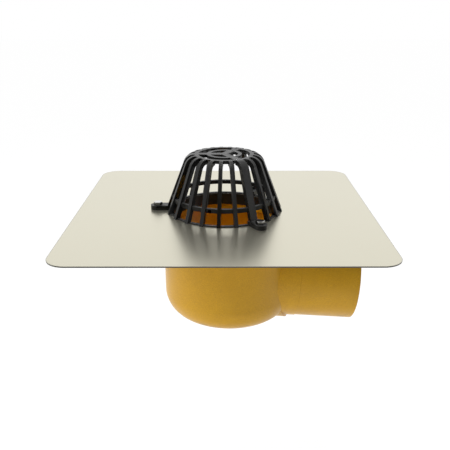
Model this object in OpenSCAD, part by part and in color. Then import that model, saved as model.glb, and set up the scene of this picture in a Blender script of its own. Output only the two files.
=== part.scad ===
// Flat roof drain: insulated pot with a side outlet, a square membrane collar
// and a bolted leaf guard. Origin on the inlet axis, level with the collar's top.

/* [Membrane collar] */
// Side of the square collar
collar_side = 500; // [360:5:600]
// Thickness of the collar sheet
collar_t = 1.8; // [1:0.1:4]
// Radius of the collar's corners
collar_corner_r = 32; // [10:1:60]
// Gap round the inlet ring's rim, in the collar's hole
collar_gap = 0.5; // [0.2:0.1:1.5]

/* [Inlet ring] */
// Clear radius of the inlet
inlet_r = 87.5; // [60:0.5:90]
// Width of the rim that stands in the collar's hole
rim_w = 5.5; // [4:0.5:7]
// Radius of the flange that the collar is clamped on
ring_flange_r = 128; // [122:0.5:134]
// Thickness of that flange
ring_flange_t = 3; // [2:0.5:5]
// Wall of the skirt that lines the neck
skirt_t = 3.5; // [2:0.5:5]
// Depth of the skirt's lower edge below the collar's top
skirt_depth = 20.5; // [14:0.5:24]
// Thickness of the flat gasket under the collar
gasket_t = 2; // [1:0.5:4]
// Radial gap between the ring and the body around it
ring_gap = 0.5; // [0.2:0.1:1]

/* [Drain body] */
// Radius of the body's flange
body_flange_r = 145; // [138:1:160]
// Depth of the flange's underside below the collar's top
body_flange_depth = 20; // [16:1:26]
// Radius of the rounding on the flange's lower edge
body_flange_edge_r = 5; // [1:0.5:8]
// Outer radius of the pot
pot_r = 114; // [106:0.5:122]
// Wall of the pot and its bottom
pot_wall = 9; // [5:0.5:14]
// Distance of the pot's axis from the inlet axis, towards the outlet
pot_shift = 9; // [0:0.5:14]
// Depth at which the pot's straight wall ends
pot_straight_depth = 145; // [140:1:170]
// Outer radius of the bottom's crown
crown_r = 179; // [150:1:260]
// Outer radius of the knuckle between the wall and the bottom
knuckle_r = 46; // [30:0.5:60]
// Depth of the ceiling over the pot's chamber
chamber_ceiling = 30; // [28:1:40]
// Radius of the rounding between the flange and the pot
pot_fillet_r = 12; // [4:1:20]

/* [Outlet] */
// Outer radius of the outlet spigot
outlet_r = 80; // [55:0.5:82]
// Wall of the spigot
outlet_wall = 7; // [4:0.5:10]
// Fall of the spigot, in degrees
outlet_fall = 3.5; // [0:0.5:6]
// Depth of the spigot's axis at the inlet axis
outlet_depth = 107.7; // [105:0.1:120]
// Distance from the inlet axis to the spigot's end
outlet_reach = 227.8; // [190:0.1:240]
// Length of the spigot's end that goes into a pipe's socket
socket_depth = 100; // [60:1:105]
// Swell of the spigot's root over the radius of its end
root_swell = 0.8; // [0.6:0.1:2]
// Outer radius of the boss under the spigot's root
root_boss_r = 84.5; // [82:0.5:86]
// Distance from the inlet axis to the boss's end
root_boss_reach = 114; // [106:1:118]
// Radius of that end, seen from above
root_boss_end_r = 131; // [125:1:150]
// Chamfer on the spigot's end
outlet_chamfer = 1; // [0.5:0.5:4]

/* [Leaf guard] */
// Height of the guard above the collar
guard_h = 97; // [70:1:130]
// Radius of the guard at the feet of its ribs
guard_foot_r = 100; // [98:0.5:104]
// Lean of the ribs from the vertical, in degrees
rib_lean = 20.8; // [12:0.2:24]
// Outer radius of the top ring
top_ring_r = 50; // [44:0.5:52]
// Outer radius of the inner top ring
inner_ring_r = 30; // [24:0.5:34]
// Width of the rings in the top
top_bar_w = 6.5; // [4:0.5:8]
// Height of the rings and spokes in the top
top_bar_h = 5.5; // [4:0.5:8]
// Number of ribs, straps included
rib_count = 21; // [12:3:27]
// Width of a plain rib
rib_w = 6; // [4:0.5:8]
// Depth of the ribs and straps, square to their slope
rib_depth = 8.5; // [6:0.5:11]
// Width of the three straps
strap_w = 12.5; // [10:0.5:16]
// Height of the hoop's top above the collar
hoop_top = 27.3; // [20:0.1:60]
// Height of the hoop itself
hoop_h = 7; // [4:0.5:12]
// Distance that the ribs stand proud of the hoop's top edge
hoop_recess = 1.4; // [0.5:0.1:3]
// Thickness of the ring at the ribs' feet
foot_ring_t = 1.8; // [1:0.1:5]
// Distance that the feet stand proud of their ring
foot_recess = 3.8; // [1:0.1:5]

/* [Lugs and screws] */
// Radius of the screw circle
screw_circle_r = 114; // [112:0.5:116]
// Width of a lug
lug_w = 20; // [18:0.5:24]
// Thickness of a lug
lug_t = 7.3; // [5:0.1:12]
// Distance of the lug's tip from the inlet axis
lug_tip_r = 126.5; // [125:0.5:132]
// Radius of the screw holes in the lugs, collar, gasket and ring
screw_hole_r = 4.5; // [4.2:0.1:5]
// Radius of the screw's thread at its mean diameter
thread_r = 3.6; // [3.4:0.1:3.9]
// Length of the screw under its head
screw_len = 25; // [22:0.5:25]
// Width across the flats of the screw's head
head_flats = 13; // [12:0.5:15]
// Height of the screw's head
head_h = 5.3; // [4:0.1:7]
// Height of the bevel round the head's top
head_bevel = 0.9; // [0.4:0.1:1.2]
// Height of the washer face under the head
washer_face_h = 0.4; // [0.2:0.1:1]
// Chamfer on the screw's tip
tip_chamfer = 0.9; // [0.4:0.1:1.4]
// Outer radius of a threaded insert
insert_r = 5.5; // [5:0.1:7]
// Length of a threaded insert
insert_len = 11.5; // [10:0.5:12]
// Depth of the grooves round an insert
insert_groove = 0.8; // [0.4:0.1:1]
// Radial gap between the thread and its insert, at the mean diameter
thread_gap = 0.05; // [0.02:0.01:0.1]

/* [Hidden] */
$fn = 96;
eps = 0.01;
// Length by which joined forms run into each other
lap = 1;

// Directions of the three lugs
angle_left = 180;
angle_front = 300;
angle_rear = 60;
lug_angles = [angle_left, angle_front, angle_rear];

// Levels, from the collar's top down
collar_bottom = -collar_t;
gasket_bottom = collar_bottom - gasket_t;
ring_flange_bottom = gasket_bottom - ring_flange_t;
skirt_bottom = -skirt_depth;
body_flange_bottom = -body_flange_depth;
ceiling = -chamber_ceiling;
insert_bottom = ring_flange_bottom - insert_len;

rim_r = inlet_r + rim_w;
collar_hole_r = rim_r + collar_gap;
skirt_r = inlet_r + skirt_t;
neck_r = skirt_r + ring_gap;
recess_r = ring_flange_r + ring_gap;
chamber_r = pot_r - pot_wall;
outlet_bore_r = outlet_r - outlet_wall;
outlet_len = outlet_reach / cos(outlet_fall);

// Shoulder of the guard: an arc from the top ring to the ribs' straight part
shoulder_r = (guard_foot_r * cos(rib_lean) - top_ring_r * cos(rib_lean) - guard_h * sin(rib_lean))
    / (1 - sin(rib_lean));
shoulder_z = guard_h - shoulder_r;

// Ribs stand between the straps with equal gaps at their feet
ribs_between = rib_count / 3 - 1;
rib_angle = 2 * asin(rib_w / 2 / guard_foot_r);
strap_angle = 2 * asin(strap_w / 2 / guard_foot_r);
gap_angle = (120 - strap_angle - ribs_between * rib_angle) / (ribs_between + 1);
rib_pitch = rib_angle + gap_angle;
first_rib_angle = (strap_angle + rib_angle) / 2 + gap_angle;

lug_end_r = lug_w / 2;
lug_centre_r = lug_tip_r - lug_end_r;

// Radius of the guard's sloping face at a height, and at a depth inside it
function slope_r(z, inside = 0) =
    guard_foot_r - z * tan(rib_lean) - inside / cos(rib_lean);

module at_lug(angle) {
    rotate([0, 0, angle]) translate([screw_circle_r, 0, 0]) children();
}

module screw_holes(z_low, z_high, r) {
    for (a = lug_angles)
        at_lug(a) translate([0, 0, z_low - eps]) cylinder(h = z_high - z_low + 2 * eps, r = r);
}

module disc(r, z_low, z_high) {
    translate([0, 0, z_low]) cylinder(h = z_high - z_low, r = r);
}

// Straight wall of a pot of outer radius r, up to z_top
module pot_tube(r, z_top) {
    translate([pot_shift, 0, -pot_straight_depth])
        cylinder(h = pot_straight_depth + z_top, r = r);
}

// Rounded knuckle under the straight wall
module pot_knuckle(r, knuckle) {
    translate([pot_shift, 0, -pot_straight_depth])
        rotate_extrude()
            translate([r - knuckle, 0])
                intersection() {
                    circle(r = knuckle);
                    translate([0, -knuckle]) square(knuckle);
                }
}

// Dished bottom: a crown that meets the knuckle at a tangent
module pot_crown(r, knuckle, crown) {
    reach = crown - knuckle;
    across = r - knuckle;
    rise = sqrt(reach * reach - across * across);
    translate([pot_shift, 0, -pot_straight_depth])
        intersection() {
            translate([0, 0, rise]) sphere(r = crown, $fn = 240);
            translate([0, 0, rise - crown])
                cylinder(h = crown - rise, r = across * crown / reach);
        }
}

// A cylinder along the outlet, from the inlet axis outwards
module along_outlet(r, length) {
    translate([0, 0, -outlet_depth])
        rotate([0, 90 + outlet_fall, 0])
            cylinder(h = length, r = r);
}

module outlet_spigot() {
    translate([0, 0, -outlet_depth])
        rotate([0, 90 + outlet_fall, 0])
            rotate_extrude()
                polygon([
                    [0, 0],
                    [outlet_r + root_swell, 0],
                    [outlet_r + root_swell, outlet_len - socket_depth],
                    [outlet_r, outlet_len - socket_depth],
                    [outlet_r, outlet_len - outlet_chamfer],
                    [outlet_r - outlet_chamfer, outlet_len],
                    [0, outlet_len]
                ]);
}

// Boss that fills the corner between the spigot's root and the pot's knuckle
module root_boss() {
    intersection() {
        along_outlet(root_boss_r, root_boss_reach + root_boss_end_r / 4);
        translate([root_boss_reach - root_boss_end_r, 0, -outlet_depth - 2 * root_boss_r])
            cylinder(h = 4 * root_boss_r, r = root_boss_end_r);
    }
}

module body_flange() {
    rotate_extrude() {
        translate([0, body_flange_bottom + body_flange_edge_r])
            square([body_flange_r, collar_bottom - body_flange_bottom - body_flange_edge_r]);
        translate([0, body_flange_bottom])
            square([body_flange_r - body_flange_edge_r, body_flange_edge_r]);
        intersection() {
            translate([
                body_flange_r - body_flange_edge_r,
                body_flange_bottom + body_flange_edge_r
            ])
                circle(r = body_flange_edge_r);
            translate([body_flange_r - body_flange_edge_r, body_flange_bottom])
                square(body_flange_edge_r);
        }
    }
}

module pot_fillet() {
    translate([pot_shift, 0, body_flange_bottom])
        rotate_extrude()
            difference() {
                translate([pot_r - pot_wall / 2, -pot_fillet_r])
                    square([pot_wall / 2 + pot_fillet_r, pot_fillet_r + eps]);
                translate([pot_r + pot_fillet_r, -pot_fillet_r])
                    circle(r = pot_fillet_r);
            }
}

// Outside of a threaded insert: three collars with two grooves between them
module insert_outline() {
    band = insert_len / 5;
    translate([0, 0, insert_bottom])
        rotate_extrude()
            polygon([
                [0, 0],
                [insert_r, 0],
                [insert_r, band],
                [insert_r - insert_groove, band],
                [insert_r - insert_groove, 2 * band],
                [insert_r, 2 * band],
                [insert_r, 3 * band],
                [insert_r - insert_groove, 3 * band],
                [insert_r - insert_groove, 4 * band],
                [insert_r, 4 * band],
                [insert_r, insert_len],
                [0, insert_len]
            ]);
}

module drain_body() {
    color("goldenrod")
        difference() {
            union() {
                union() {
                    union() {
                        pot_tube(pot_r, body_flange_bottom + eps);
                        outlet_spigot();
                        root_boss();
                    }
                    pot_knuckle(pot_r, knuckle_r);
                }
                pot_crown(pot_r, knuckle_r, crown_r);
                body_flange();
                pot_fillet();
            }
            disc(recess_r, ring_flange_bottom, 0);
            disc(neck_r, ceiling - eps, 0);
            pot_tube(chamber_r, ceiling);
            pot_knuckle(chamber_r, knuckle_r - pot_wall);
            pot_crown(chamber_r, knuckle_r - pot_wall, crown_r - pot_wall);
            along_outlet(outlet_bore_r, outlet_len + lap);
            for (a = lug_angles)
                at_lug(a) insert_outline();
        }
}

module membrane_collar() {
    inner = collar_side - 2 * collar_corner_r;
    color("beige")
        difference() {
            translate([0, 0, collar_bottom])
                linear_extrude(collar_t)
                    union() {
                        square([inner, collar_side], center = true);
                        square([collar_side, inner], center = true);
                        for (x = [-1, 1], y = [-1, 1])
                            translate([x * inner / 2, y * inner / 2]) circle(r = collar_corner_r);
                    }
            disc(collar_hole_r, collar_bottom - eps, eps);
            screw_holes(collar_bottom, 0, screw_hole_r);
        }
}

module inlet_ring() {
    color("dimgray")
        difference() {
            rotate_extrude()
                polygon([
                    [inlet_r, skirt_bottom],
                    [skirt_r, skirt_bottom],
                    [skirt_r, ring_flange_bottom],
                    [ring_flange_r, ring_flange_bottom],
                    [ring_flange_r, gasket_bottom],
                    [rim_r, gasket_bottom],
                    [rim_r, 0],
                    [inlet_r, 0]
                ]);
            screw_holes(ring_flange_bottom, gasket_bottom, screw_hole_r);
        }
}

module flange_gasket() {
    color("black")
        difference() {
            disc(ring_flange_r, gasket_bottom, collar_bottom);
            disc(collar_hole_r, gasket_bottom - eps, collar_bottom + eps);
            screw_holes(gasket_bottom, collar_bottom, screw_hole_r);
        }
}

// Half-section of the guard's bell, at a depth inside its outer face
module bell_section(inside) {
    r = shoulder_r - inside;
    tangent = [top_ring_r + r * cos(rib_lean), shoulder_z + r * sin(rib_lean)];
    polygon([
        [0, 0],
        [slope_r(0, inside), 0],
        tangent,
        [top_ring_r, shoulder_z],
        [top_ring_r, guard_h - inside],
        [0, guard_h - inside]
    ]);
    intersection() {
        translate([top_ring_r, shoulder_z]) circle(r = r);
        polygon([
            [top_ring_r, shoulder_z],
            tangent + [tangent[0] - top_ring_r, tangent[1] - shoulder_z],
            [top_ring_r + 3 * r, shoulder_z + 3 * r],
            [top_ring_r, shoulder_z + 3 * r]
        ]);
    }
}

// One rib, from the middle of the top ring down to its foot
module rib(width) {
    rotate([90, 0, 0])
        linear_extrude(width, center = true)
            intersection() {
                difference() {
                    bell_section(0);
                    bell_section(rib_depth);
                }
                translate([top_ring_r - top_bar_w / 2, 0])
                    square([guard_foot_r, guard_h]);
            }
}

module bar_ring(r_out, width, z_low, height) {
    rotate_extrude()
        translate([r_out - width, z_low]) square([width, height]);
}

// A ring between the ribs, some way above their feet
module hoop() {
    z_low = hoop_top - hoop_h;
    r_out = slope_r(hoop_top) - hoop_recess;
    bar_ring(r_out, r_out - slope_r(z_low, rib_depth), z_low, hoop_h);
}

module foot_ring() {
    r_out = guard_foot_r - foot_recess;
    bar_ring(r_out, r_out - slope_r(0, rib_depth), 0, foot_ring_t);
}

// A strap of the guard: spoke across the top, wide rib and screw lug
module strap() {
    rib(strap_w);
    translate([0, -strap_w / 2, guard_h - top_bar_h])
        cube([top_ring_r - top_bar_w / 2 + lap, strap_w, top_bar_h]);
    translate([slope_r(0, rib_depth) + lap, -lug_w / 2, 0])
        cube([lug_centre_r - slope_r(0, rib_depth) - lap, lug_w, lug_t]);
    translate([lug_centre_r, 0, 0])
        cylinder(h = lug_t, r = lug_end_r);
}

module leaf_guard() {
    color("black")
        difference() {
            union() {
                for (a = lug_angles) {
                    rotate([0, 0, a]) strap();
                    for (i = [0 : ribs_between - 1])
                        rotate([0, 0, a + first_rib_angle + i * rib_pitch]) rib(rib_w);
                }
                bar_ring(top_ring_r, top_bar_w, guard_h - top_bar_h, top_bar_h);
                bar_ring(inner_ring_r, top_bar_w, guard_h - top_bar_h, top_bar_h);
                hoop();
                foot_ring();
            }
            screw_holes(0, lug_t, screw_hole_r);
        }
}

module guard_screw(angle) {
    head_r = head_flats / 2 / cos(30);
    tip = lug_t - screw_len;
    color("lightgray")
        at_lug(angle) {
            intersection() {
                translate([0, 0, lug_t + washer_face_h])
                    cylinder(h = head_h - washer_face_h, r = head_r, $fn = 6);
                translate([0, 0, lug_t])
                    rotate_extrude()
                        polygon([
                            [0, 0],
                            [head_r, 0],
                            [head_r, head_h - head_bevel],
                            [head_r - head_bevel / tan(30), head_h],
                            [0, head_h]
                        ]);
            }
            translate([0, 0, lug_t])
                cylinder(h = washer_face_h + eps, r = head_flats / 2 - washer_face_h);
            translate([0, 0, tip + tip_chamfer])
                cylinder(h = screw_len - tip_chamfer + eps, r = thread_r);
            translate([0, 0, tip])
                cylinder(h = tip_chamfer, r1 = thread_r - tip_chamfer, r2 = thread_r);
        }
}

module threaded_insert(angle) {
    color("gold")
        at_lug(angle)
            difference() {
                insert_outline();
                translate([0, 0, insert_bottom - eps])
                    cylinder(h = insert_len + 2 * eps, r = thread_r + thread_gap);
            }
}

drain_body();
membrane_collar();
inlet_ring();
flange_gasket();
leaf_guard();
guard_screw(angle_left);  // screw_left
guard_screw(angle_front);  // screw_front
guard_screw(angle_rear);  // screw_rear
threaded_insert(angle_left);  // insert_left
threaded_insert(angle_front);  // insert_front
threaded_insert(angle_rear);  // insert_rear
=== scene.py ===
import math

import bpy
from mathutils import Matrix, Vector


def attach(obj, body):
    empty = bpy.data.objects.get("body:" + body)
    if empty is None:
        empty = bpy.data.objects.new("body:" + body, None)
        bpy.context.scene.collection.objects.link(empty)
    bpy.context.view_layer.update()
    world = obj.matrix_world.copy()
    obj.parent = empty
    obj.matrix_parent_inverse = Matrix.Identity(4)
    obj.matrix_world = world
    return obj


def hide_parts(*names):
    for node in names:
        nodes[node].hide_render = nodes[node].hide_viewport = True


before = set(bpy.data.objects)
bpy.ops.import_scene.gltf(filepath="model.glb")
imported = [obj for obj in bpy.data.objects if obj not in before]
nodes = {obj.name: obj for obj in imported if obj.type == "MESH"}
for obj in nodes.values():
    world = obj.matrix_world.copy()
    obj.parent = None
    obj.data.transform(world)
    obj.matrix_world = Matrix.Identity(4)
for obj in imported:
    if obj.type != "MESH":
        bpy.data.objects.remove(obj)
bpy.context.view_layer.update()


def deselectAll():
    for item in bpy.context.selected_objects:
        item.select_set(False)
    bpy.context.view_layer.objects.active = None


def makeActive(piece):
    deselectAll()
    piece.select_set(True)
    bpy.context.view_layer.objects.active = piece


def applyModifier(piece, kind, **settings):
    makeActive(piece)
    modifier = piece.modifiers.new(kind.title(), kind)
    for name, value in settings.items():
        setattr(modifier, name, value)
    bpy.ops.object.modifier_apply(modifier=modifier.name)


def smooth(piece, degrees):
    makeActive(piece)
    bpy.ops.object.shade_smooth_by_angle(angle=math.radians(degrees))


merging = {"distance": 0.000002, "faceAngle": 0.5, "shapeAngle": 180}


# a copy of a CAD node with its loose triangles merged, ready for modifiers
def mergedCopy(nodeName, pieceName):
    piece = nodes[nodeName].copy()
    piece.data = nodes[nodeName].data.copy()
    piece.name = pieceName
    piece.parent = None
    for key in list(piece.keys()):  # a CAD node's own marks aren't copied
        del piece[key]
    bpy.context.scene.collection.objects.link(piece)
    makeActive(piece)
    bpy.ops.object.mode_set(mode="EDIT")
    bpy.ops.mesh.select_all(action="SELECT")
    bpy.ops.mesh.remove_doubles(threshold=merging["distance"])
    bpy.ops.mesh.tris_convert_to_quads(face_threshold=math.radians(merging["faceAngle"]),
                                       shape_threshold=math.radians(merging["shapeAngle"]))
    bpy.ops.object.mode_set(mode="OBJECT")
    return piece


def setMaterial(piece, material):
    piece.data.materials.clear()
    piece.data.materials.append(material)


def newGroup(name, inputs, outputs):
    group = bpy.data.node_groups.new(name, "ShaderNodeTree")
    for label, kind, value in inputs:
        socket = group.interface.new_socket(label, in_out="INPUT", socket_type=kind)
        socket.default_value = value
    for label, kind in outputs:
        group.interface.new_socket(label, in_out="OUTPUT", socket_type=kind)
    return group


def addNode(tree, kind, **settings):
    item = tree.nodes.new(kind)
    for name, value in settings.items():
        setattr(item, name, value)
    return item


def link(tree, source, target):
    tree.links.new(source, target)


mouldGrain = {"detail": 3, "roughness": 0.55, "patchDetail": 4,
              "pitShare": 0.5, "pitCore": 0.10, "pitRim": 0.24}


# fine grain of a moulded skin: a height, a mask of wide colour patches and one of small pits
def buildGrainGroup():
    group = newGroup(
        "MouldGrain",
        [("Grains per metre", "NodeSocketFloat", 900.0), ("Patches per metre", "NodeSocketFloat", 30.0)],
        [("Height", "NodeSocketFloat"), ("Patches", "NodeSocketFloat"), ("Specks", "NodeSocketFloat")],
    )
    entry = addNode(group, "NodeGroupInput")
    leave = addNode(group, "NodeGroupOutput")
    coordinates = addNode(group, "ShaderNodeTexCoord")
    grain = addNode(group, "ShaderNodeTexNoise")
    grain.inputs["Detail"].default_value = mouldGrain["detail"]
    grain.inputs["Roughness"].default_value = mouldGrain["roughness"]
    patches = addNode(group, "ShaderNodeTexNoise")
    patches.inputs["Detail"].default_value = mouldGrain["patchDetail"]
    pits = addNode(group, "ShaderNodeTexVoronoi", feature="F1")
    specks = addNode(group, "ShaderNodeMapRange")
    specks.inputs["From Min"].default_value = mouldGrain["pitCore"]
    specks.inputs["From Max"].default_value = mouldGrain["pitRim"]
    specks.inputs["To Min"].default_value = 1.0
    specks.inputs["To Max"].default_value = 0.0
    fewer = addNode(group, "ShaderNodeMath", operation="MULTIPLY")
    fewer.inputs[1].default_value = mouldGrain["pitShare"]
    link(group, entry.outputs["Grains per metre"], fewer.inputs[0])
    for texture in (grain, patches, pits):
        link(group, coordinates.outputs["Object"], texture.inputs["Vector"])
    link(group, entry.outputs["Grains per metre"], grain.inputs["Scale"])
    link(group, entry.outputs["Patches per metre"], patches.inputs["Scale"])
    link(group, fewer.outputs[0], pits.inputs["Scale"])
    link(group, pits.outputs["Distance"], specks.inputs["Value"])
    link(group, grain.outputs["Fac"], leave.inputs["Height"])
    link(group, patches.outputs["Fac"], leave.inputs["Patches"])
    link(group, specks.outputs["Result"], leave.inputs["Specks"])
    return group


edgeSamples = 6


# rounded normals at sharp edges, and a mask of the edges from the angle between plain and rounded normal
def buildEdgeGroup():
    group = newGroup(
        "EdgeMask",
        [("Width", "NodeSocketFloat", 0.001), ("Gain", "NodeSocketFloat", 8.0)],
        [("Mask", "NodeSocketFloat"), ("Normal", "NodeSocketVector")],
    )
    entry = addNode(group, "NodeGroupInput")
    leave = addNode(group, "NodeGroupOutput")
    rounded = addNode(group, "ShaderNodeBevel", samples=edgeSamples)
    plain = addNode(group, "ShaderNodeNewGeometry")
    agreement = addNode(group, "ShaderNodeVectorMath", operation="DOT_PRODUCT")
    difference = addNode(group, "ShaderNodeMath", operation="SUBTRACT")
    difference.inputs[0].default_value = 1.0
    gain = addNode(group, "ShaderNodeMath", operation="MULTIPLY", use_clamp=True)
    link(group, entry.outputs["Width"], rounded.inputs["Radius"])
    link(group, rounded.outputs["Normal"], agreement.inputs[0])
    link(group, plain.outputs["Normal"], agreement.inputs[1])
    link(group, agreement.outputs["Value"], difference.inputs[1])
    link(group, difference.outputs[0], gain.inputs[0])
    link(group, entry.outputs["Gain"], gain.inputs[1])
    link(group, gain.outputs[0], leave.inputs["Mask"])
    link(group, rounded.outputs["Normal"], leave.inputs["Normal"])
    return group


upright = {"wallSlope": 0.3, "levelSlope": 0.6}  # upward parts of a face's normal


# mask of upright faces: 1 on walls and rims, 0 on level faces
def buildUprightGroup():
    group = newGroup("UprightMask", [], [("Mask", "NodeSocketFloat")])
    leave = addNode(group, "NodeGroupOutput")
    facing = addNode(group, "ShaderNodeNewGeometry")
    split = addNode(group, "ShaderNodeSeparateXYZ")
    level = addNode(group, "ShaderNodeMath", operation="ABSOLUTE")
    mask = addNode(group, "ShaderNodeMapRange")
    mask.inputs["From Min"].default_value = upright["wallSlope"]
    mask.inputs["From Max"].default_value = upright["levelSlope"]
    mask.inputs["To Min"].default_value = 1.0
    mask.inputs["To Max"].default_value = 0.0
    link(group, facing.outputs["True Normal"], split.inputs["Vector"])
    link(group, split.outputs["Z"], level.inputs[0])
    link(group, level.outputs[0], mask.inputs["Value"])
    link(group, mask.outputs["Result"], leave.inputs["Mask"])
    return group


grainGroup = buildGrainGroup()
edgeGroup = buildEdgeGroup()
uprightGroup = buildUprightGroup()
print("stage: shader groups")


def newMaterial(name):
    material = bpy.data.materials.new(name)
    material.use_nodes = True
    tree = material.node_tree
    return material, tree, tree.nodes["Principled BSDF"]


def addGroup(tree, group, **values):
    item = addNode(tree, "ShaderNodeGroup", node_tree=group)
    for label, value in values.items():
        item.inputs[label.replace("_", " ")].default_value = value
    return item


def colourMix(tree, amount, colourA, colourB):
    mix = addNode(tree, "ShaderNodeMix", data_type="RGBA")
    link(tree, amount, mix.inputs["Factor"])
    for socket, colour in ((mix.inputs["A"], colourA), (mix.inputs["B"], colourB)):
        if isinstance(colour, tuple):
            socket.default_value = (*colour, 1.0)
        else:
            link(tree, colour, socket)
    return mix.outputs["Result"]


noiseSpan = (0.3, 0.7)  # where most of a noise texture's values lie
fullSpan = (0.0, 1.0)


def valueRange(tree, value, low, high, span=noiseSpan):
    mapped = addNode(tree, "ShaderNodeMapRange")
    mapped.inputs["From Min"].default_value = span[0]
    mapped.inputs["From Max"].default_value = span[1]
    mapped.inputs["To Min"].default_value = low
    mapped.inputs["To Max"].default_value = high
    link(tree, value, mapped.inputs["Value"])
    return mapped.outputs["Result"]


def addBump(tree, height, strength, distance, normal):
    bump = addNode(tree, "ShaderNodeBump")
    bump.inputs["Strength"].default_value = strength
    bump.inputs["Distance"].default_value = distance
    link(tree, height, bump.inputs["Height"])
    link(tree, normal, bump.inputs["Normal"])
    return bump.outputs["Normal"]


foam = {"colour": (0.650, 0.352, 0.011), "pale": (0.680, 0.373, 0.014), "dark": (0.45, 0.232, 0.007),
        "roughness": (0.28, 0.36), "specular": 0.28, "grains": 800.0, "patches": 26.0,
        "patchSpan": (0.35, 0.65), "pitDark": 0.35, "mottle": 0.85,
        "edgeWidth": 0.0006, "edgeGain": 3.0, "edgeHighlight": 0.2, "bump": 0.14, "depth": 0.0003}


def foamMaterial():
    material, tree, shader = newMaterial("foamSkin")
    shader.inputs["Specular IOR Level"].default_value = foam["specular"]
    grain = addGroup(tree, grainGroup, Grains_per_metre=foam["grains"], Patches_per_metre=foam["patches"])
    edge = addGroup(tree, edgeGroup, Width=foam["edgeWidth"], Gain=foam["edgeGain"])
    patchAmount = valueRange(tree, grain.outputs["Patches"], 0.0, 1.0, foam["patchSpan"])
    base = colourMix(tree, patchAmount, foam["colour"], foam["pale"])
    pitAmount = valueRange(tree, grain.outputs["Specks"], 0.0, foam["pitDark"], fullSpan)
    base = colourMix(tree, pitAmount, base, foam["dark"])
    mottleAmount = valueRange(tree, grain.outputs["Height"], 0.0, foam["mottle"])
    base = colourMix(tree, mottleAmount, base, foam["dark"])
    # painted highlight: the foam's edges and creases paler in base colour
    edgeHighlightAmount = valueRange(tree, edge.outputs["Mask"], 0.0, foam["edgeHighlight"], fullSpan)
    base = colourMix(tree, edgeHighlightAmount, base, foam["pale"])
    link(tree, base, shader.inputs["Base Color"])
    link(tree, valueRange(tree, grain.outputs["Height"], *foam["roughness"]), shader.inputs["Roughness"])
    link(tree, addBump(tree, grain.outputs["Height"], foam["bump"], foam["depth"], edge.outputs["Normal"]),
         shader.inputs["Normal"])
    return material


sheet = {"colour": (0.728, 0.698, 0.568), "shadedEdge": (0.2, 0.195, 0.17), "shadedRim": (0.16, 0.155, 0.14),
         "metallic": 0.98, "roughness": (0.278, 0.290), "grains": 600.0, "patches": 9.0,
         "edgeWidth": 0.0018, "edgeGain": 8.0, "bump": 0.004, "depth": 0.0002}


def sheetMaterial():
    material, tree, shader = newMaterial("collarFilm")
    shader.inputs["Metallic"].default_value = sheet["metallic"]
    grain = addGroup(tree, grainGroup, Grains_per_metre=sheet["grains"], Patches_per_metre=sheet["patches"])
    edge = addGroup(tree, edgeGroup, Width=sheet["edgeWidth"], Gain=sheet["edgeGain"])
    # painted shade: the sheet's edges darker in base colour
    base = colourMix(tree, edge.outputs["Mask"], sheet["colour"], sheet["shadedEdge"])
    # painted shade: the sheet's upright cut faces darker in base colour
    rim = addGroup(tree, uprightGroup)
    base = colourMix(tree, rim.outputs["Mask"], base, sheet["shadedRim"])
    link(tree, base, shader.inputs["Base Color"])
    link(tree, valueRange(tree, grain.outputs["Patches"], *sheet["roughness"]), shader.inputs["Roughness"])
    link(tree, addBump(tree, grain.outputs["Height"], sheet["bump"], sheet["depth"], edge.outputs["Normal"]),
         shader.inputs["Normal"])
    return material


# what the black pieces share, and what differs
blackSkin = {"roughness": (0.27, 0.35), "specular": 0.20, "grains": 1500.0, "patches": 40.0,
             "edgeGain": 4.0, "highlightShare": 0.6, "bump": 0.04, "depth": 0.0002}
# each black piece's second colour is a painted highlight on its rounded edges
guardPlastic = {"colour": (0.010, 0.010, 0.0098), "highlitEdge": (0.060, 0.060, 0.059), "edgeWidth": 0.0006}
ringPlastic = {"colour": (0.018, 0.016, 0.013), "highlitEdge": (0.05, 0.05, 0.048), "edgeWidth": 0.0006}
gasketRubber = {"colour": (0.022, 0.022, 0.022), "highlitEdge": (0.06, 0.06, 0.06), "edgeWidth": 0.0004}


def blackMaterial(name, piece):
    material, tree, shader = newMaterial(name)
    shader.inputs["Specular IOR Level"].default_value = blackSkin["specular"]
    grain = addGroup(tree, grainGroup, Grains_per_metre=blackSkin["grains"],
                     Patches_per_metre=blackSkin["patches"])
    edge = addGroup(tree, edgeGroup, Width=piece["edgeWidth"], Gain=blackSkin["edgeGain"])
    # painted highlight: rounded edges paler in base colour
    highlightAmount = valueRange(tree, edge.outputs["Mask"], 0.0, blackSkin["highlightShare"], fullSpan)
    link(tree, colourMix(tree, highlightAmount, piece["colour"], piece["highlitEdge"]), shader.inputs["Base Color"])
    link(tree, valueRange(tree, grain.outputs["Patches"], *blackSkin["roughness"]),
         shader.inputs["Roughness"])
    link(tree, addBump(tree, grain.outputs["Height"], blackSkin["bump"], blackSkin["depth"],
                       edge.outputs["Normal"]), shader.inputs["Normal"])
    return material


steel = {"colour": (0.78, 0.78, 0.76), "dark": (0.66, 0.66, 0.65), "side": (0.14, 0.14, 0.14),
         "roughness": (0.08, 0.14), "scratches": 900.0, "patches": 220.0, "patchDark": 0.6,
         "edgeWidth": 0.0004, "bump": 0.1, "depth": 0.0001}


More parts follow.
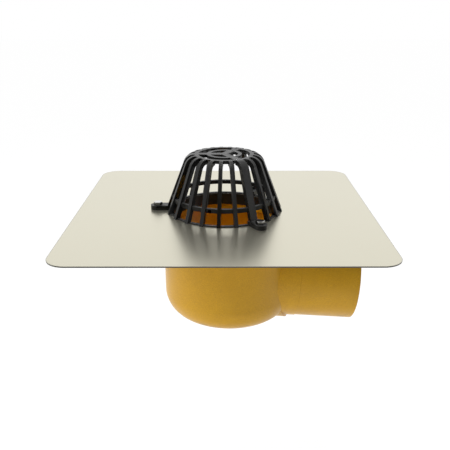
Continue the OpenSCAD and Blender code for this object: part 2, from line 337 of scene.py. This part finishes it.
def steelMaterial():
    material, tree, shader = newMaterial("screwSteel")
    shader.inputs["Metallic"].default_value = 1.0
    grain = addGroup(tree, grainGroup, Grains_per_metre=steel["scratches"],
                     Patches_per_metre=steel["patches"])
    edge = addGroup(tree, edgeGroup, Width=steel["edgeWidth"])
    wall = addGroup(tree, uprightGroup)
    patchAmount = valueRange(tree, grain.outputs["Patches"], 0.0, steel["patchDark"])
    base = colourMix(tree, patchAmount, steel["colour"], steel["dark"])
    # painted shade: the heads' upright facets darker in base colour
    base = colourMix(tree, wall.outputs["Mask"], base, steel["side"])
    link(tree, base, shader.inputs["Base Color"])
    link(tree, valueRange(tree, grain.outputs["Height"], *steel["roughness"]), shader.inputs["Roughness"])
    link(tree, addBump(tree, grain.outputs["Height"], steel["bump"], steel["depth"], edge.outputs["Normal"]),
         shader.inputs["Normal"])
    return material


brass = {"colour": (0.62, 0.42, 0.16), "dark": (0.35, 0.22, 0.08), "roughness": (0.25, 0.4),
         "grains": 1200.0, "patches": 200.0, "patchDark": 0.7}


def brassMaterial():
    material, tree, shader = newMaterial("insertBrass")
    shader.inputs["Metallic"].default_value = 1.0
    grain = addGroup(tree, grainGroup, Grains_per_metre=brass["grains"], Patches_per_metre=brass["patches"])
    patchAmount = valueRange(tree, grain.outputs["Patches"], 0.0, brass["patchDark"])
    link(tree, colourMix(tree, patchAmount, brass["colour"], brass["dark"]), shader.inputs["Base Color"])
    link(tree, valueRange(tree, grain.outputs["Height"], *brass["roughness"]), shader.inputs["Roughness"])
    return material


foamSkin = foamMaterial()
collarFilm = sheetMaterial()
guardBlack = blackMaterial("guardPlastic", guardPlastic)
ringBlack = blackMaterial("ringPlastic", ringPlastic)
gasketBlack = blackMaterial("gasketRubber", gasketRubber)
screwSteel = steelMaterial()
insertBrass = brassMaterial()

nodeMaterials = {
    "drain_body": foamSkin, "membrane_collar": collarFilm, "inlet_ring": ringBlack,
    "flange_gasket": gasketBlack, "leaf_guard": guardBlack,
    "screw_left": screwSteel, "screw_front": screwSteel, "screw_rear": screwSteel,
    "insert_left": insertBrass, "insert_front": insertBrass, "insert_rear": insertBrass,
}
nodeSmoothAngle = 30
for nodeName, material in nodeMaterials.items():
    setMaterial(nodes[nodeName], material)
    smooth(nodes[nodeName], nodeSmoothAngle)
print("stage: materials")


guardMould = {"edgeWidth": 0.0007, "segments": 2, "sharpFrom": 32, "smoothAngle": 40}


# the leaf guard with the small rounded edges of a moulding
def buildGuard():
    guard = mergedCopy("leaf_guard", "leaf_guard_moulded")
    applyModifier(guard, "BEVEL", width=guardMould["edgeWidth"], segments=guardMould["segments"],
                  limit_method="ANGLE", angle_limit=math.radians(guardMould["sharpFrom"]),
                  use_clamp_overlap=True)
    setMaterial(guard, guardBlack)
    smooth(guard, guardMould["smoothAngle"])
    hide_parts("leaf_guard")
    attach(guard, "root")
    print("stage: leaf guard,", len(guard.data.polygons), "faces")


buildGuard()


# the backdrop and what shiny pieces mirror of it, with a weaker front and overhead
studio = {"floorLevel": -0.62, "floorSize": 30.0, "floorColour": (0.9, 0.9, 0.9), "floorRoughness": 0.9,
          "ownShade": 0.10, "floorGlow": 1.06,
          "floorFrontGlow": 0.50, "floorFrontFrom": -0.45, "floorFrontTo": -1.1,
          "sky": (1.0, 1.0, 1.0), "frontStrength": 0.50, "frontFrom": -0.25, "frontTo": -0.75,
          "overheadStrength": 0.55, "overheadFrom": 0.40, "overheadTo": 0.80,
          "leftStrength": 0.76, "leftFrom": -0.7, "rightStrength": 0.09, "rightFrom": 0.7}


# a value that eases from one strength to another along an axis of a position
def easedAlong(tree, position, axis, start, end, startValue, endValue):
    split = addNode(tree, "ShaderNodeSeparateXYZ")
    link(tree, position, split.inputs["Vector"])
    shade = addNode(tree, "ShaderNodeMapRange", interpolation_type="SMOOTHSTEP")
    shade.inputs["From Min"].default_value = start
    shade.inputs["From Max"].default_value = end
    shade.inputs["To Min"].default_value = startValue
    shade.inputs["To Max"].default_value = endValue
    link(tree, split.outputs[axis], shade.inputs["Value"])
    return shade.outputs["Result"]


def chosenStrength(tree, amount, low, high):
    mix = addNode(tree, "ShaderNodeMix", data_type="FLOAT")
    link(tree, amount, mix.inputs["Factor"])
    for socket, value in ((mix.inputs["A"], low), (mix.inputs["B"], high)):
        if isinstance(value, float):
            socket.default_value = value
        else:
            link(tree, value, socket)
    return mix.outputs["Result"]


# a pale floor: an even glow to the camera, weaker towards the front where pieces mirror it
def buildFloor():
    deselectAll()
    bpy.ops.mesh.primitive_plane_add(size=studio["floorSize"], location=(0, 0, studio["floorLevel"]))
    floor = bpy.context.object
    floor.name = "studio_floor"
    material, tree, shader = newMaterial("studioFloor")
    shader.inputs["Base Color"].default_value = (*studio["floorColour"], 1.0)
    shader.inputs["Roughness"].default_value = studio["floorRoughness"]
    light = addNode(tree, "ShaderNodeLightPath")
    seen = addNode(tree, "ShaderNodeMath", operation="MAXIMUM")
    share = addNode(tree, "ShaderNodeMath", operation="MULTIPLY")
    share.inputs[1].default_value = 1.0 - studio["ownShade"]
    coordinates = addNode(tree, "ShaderNodeTexCoord")
    mirrored = easedAlong(tree, coordinates.outputs["Object"], "Y", studio["floorFrontTo"],
                          studio["floorFrontFrom"], studio["floorFrontGlow"], 1.0)
    glow = addNode(tree, "ShaderNodeEmission")
    blend = addNode(tree, "ShaderNodeMixShader")
    link(tree, light.outputs["Is Camera Ray"], seen.inputs[0])
    link(tree, light.outputs["Is Glossy Ray"], seen.inputs[1])
    link(tree, seen.outputs[0], share.inputs[0])
    link(tree, share.outputs[0], blend.inputs["Fac"])
    link(tree, chosenStrength(tree, light.outputs["Is Glossy Ray"], studio["floorGlow"], mirrored),
         glow.inputs["Strength"])
    link(tree, shader.outputs["BSDF"], blend.inputs[1])
    link(tree, glow.outputs["Emission"], blend.inputs[2])
    link(tree, blend.outputs["Shader"], tree.nodes["Material Output"].inputs["Surface"])
    floor.data.materials.append(material)


# white to the camera, eased from left to right as light, weaker in front and overhead where mirrored
def buildWorld():
    world = bpy.data.worlds.new("studioWorld")
    bpy.context.scene.world = world
    world.use_nodes = True
    tree = world.node_tree
    background = tree.nodes["Background"]
    light = addNode(tree, "ShaderNodeLightPath")
    coordinates = addNode(tree, "ShaderNodeTexCoord")
    mirrored = easedAlong(tree, coordinates.outputs["Generated"], "Y", studio["frontTo"], studio["frontFrom"],
                          studio["frontStrength"], 1.0)
    overhead = easedAlong(tree, coordinates.outputs["Generated"], "Z", studio["overheadFrom"],
                          studio["overheadTo"], 1.0, studio["overheadStrength"])
    shaded = addNode(tree, "ShaderNodeMath", operation="MULTIPLY")
    link(tree, mirrored, shaded.inputs[0])
    link(tree, overhead, shaded.inputs[1])
    spread = easedAlong(tree, coordinates.outputs["Generated"], "X", studio["leftFrom"], studio["rightFrom"],
                        studio["leftStrength"], studio["rightStrength"])
    strength = chosenStrength(tree, light.outputs["Is Glossy Ray"], spread, shaded.outputs[0])
    strength = chosenStrength(tree, light.outputs["Is Camera Ray"], strength, 1.0)
    link(tree, strength, background.inputs["Strength"])
    background.inputs["Color"].default_value = (*studio["sky"], 1.0)


lamps = {"keyLamp": {"place": (-2.0, -0.8, 1.0), "aim": (0.0, 0.0, 0.0), "size": 1.4, "power": 24.0},
         "topLamp": {"place": (0.0, 0.1, 1.0), "aim": (0.0, 0.0, 0.0), "size": 0.6, "power": 46.0}}


# a soft round lamp that lights the pieces but isn't mirrored in them
def buildLamp(name, settings):
    data = bpy.data.lights.new(name, "AREA")
    data.shape = "DISK"
    data.size = settings["size"]
    data.energy = settings["power"]
    lamp = bpy.data.objects.new(name, data)
    lamp.location = settings["place"]
    direction = Vector(settings["aim"]) - Vector(settings["place"])
    lamp.rotation_euler = direction.to_track_quat("-Z", "Y").to_euler()
    lamp.visible_glossy = False
    bpy.context.scene.collection.objects.link(lamp)


view = {"lens": 50.05, "sensor": 36.0, "clipStart": 0.01,
        "place": (0.00011, -1.0292, 0.3437), "pitch": 70.01, "turn": -0.0787}


def buildCamera():
    data = bpy.data.cameras.new("viewCamera")
    data.lens = view["lens"]
    data.sensor_width = view["sensor"]
    data.clip_start = view["clipStart"]
    camera = bpy.data.objects.new("viewCamera", data)
    camera.location = view["place"]
    camera.rotation_euler = (math.radians(view["pitch"]), 0.0, math.radians(view["turn"]))
    bpy.context.scene.collection.objects.link(camera)
    bpy.context.scene.camera = camera


buildFloor()
buildWorld()
for lampName, lampSettings in lamps.items():
    buildLamp(lampName, lampSettings)
buildCamera()
bpy.context.scene.view_settings.view_transform = "Standard"
print("stage: studio")
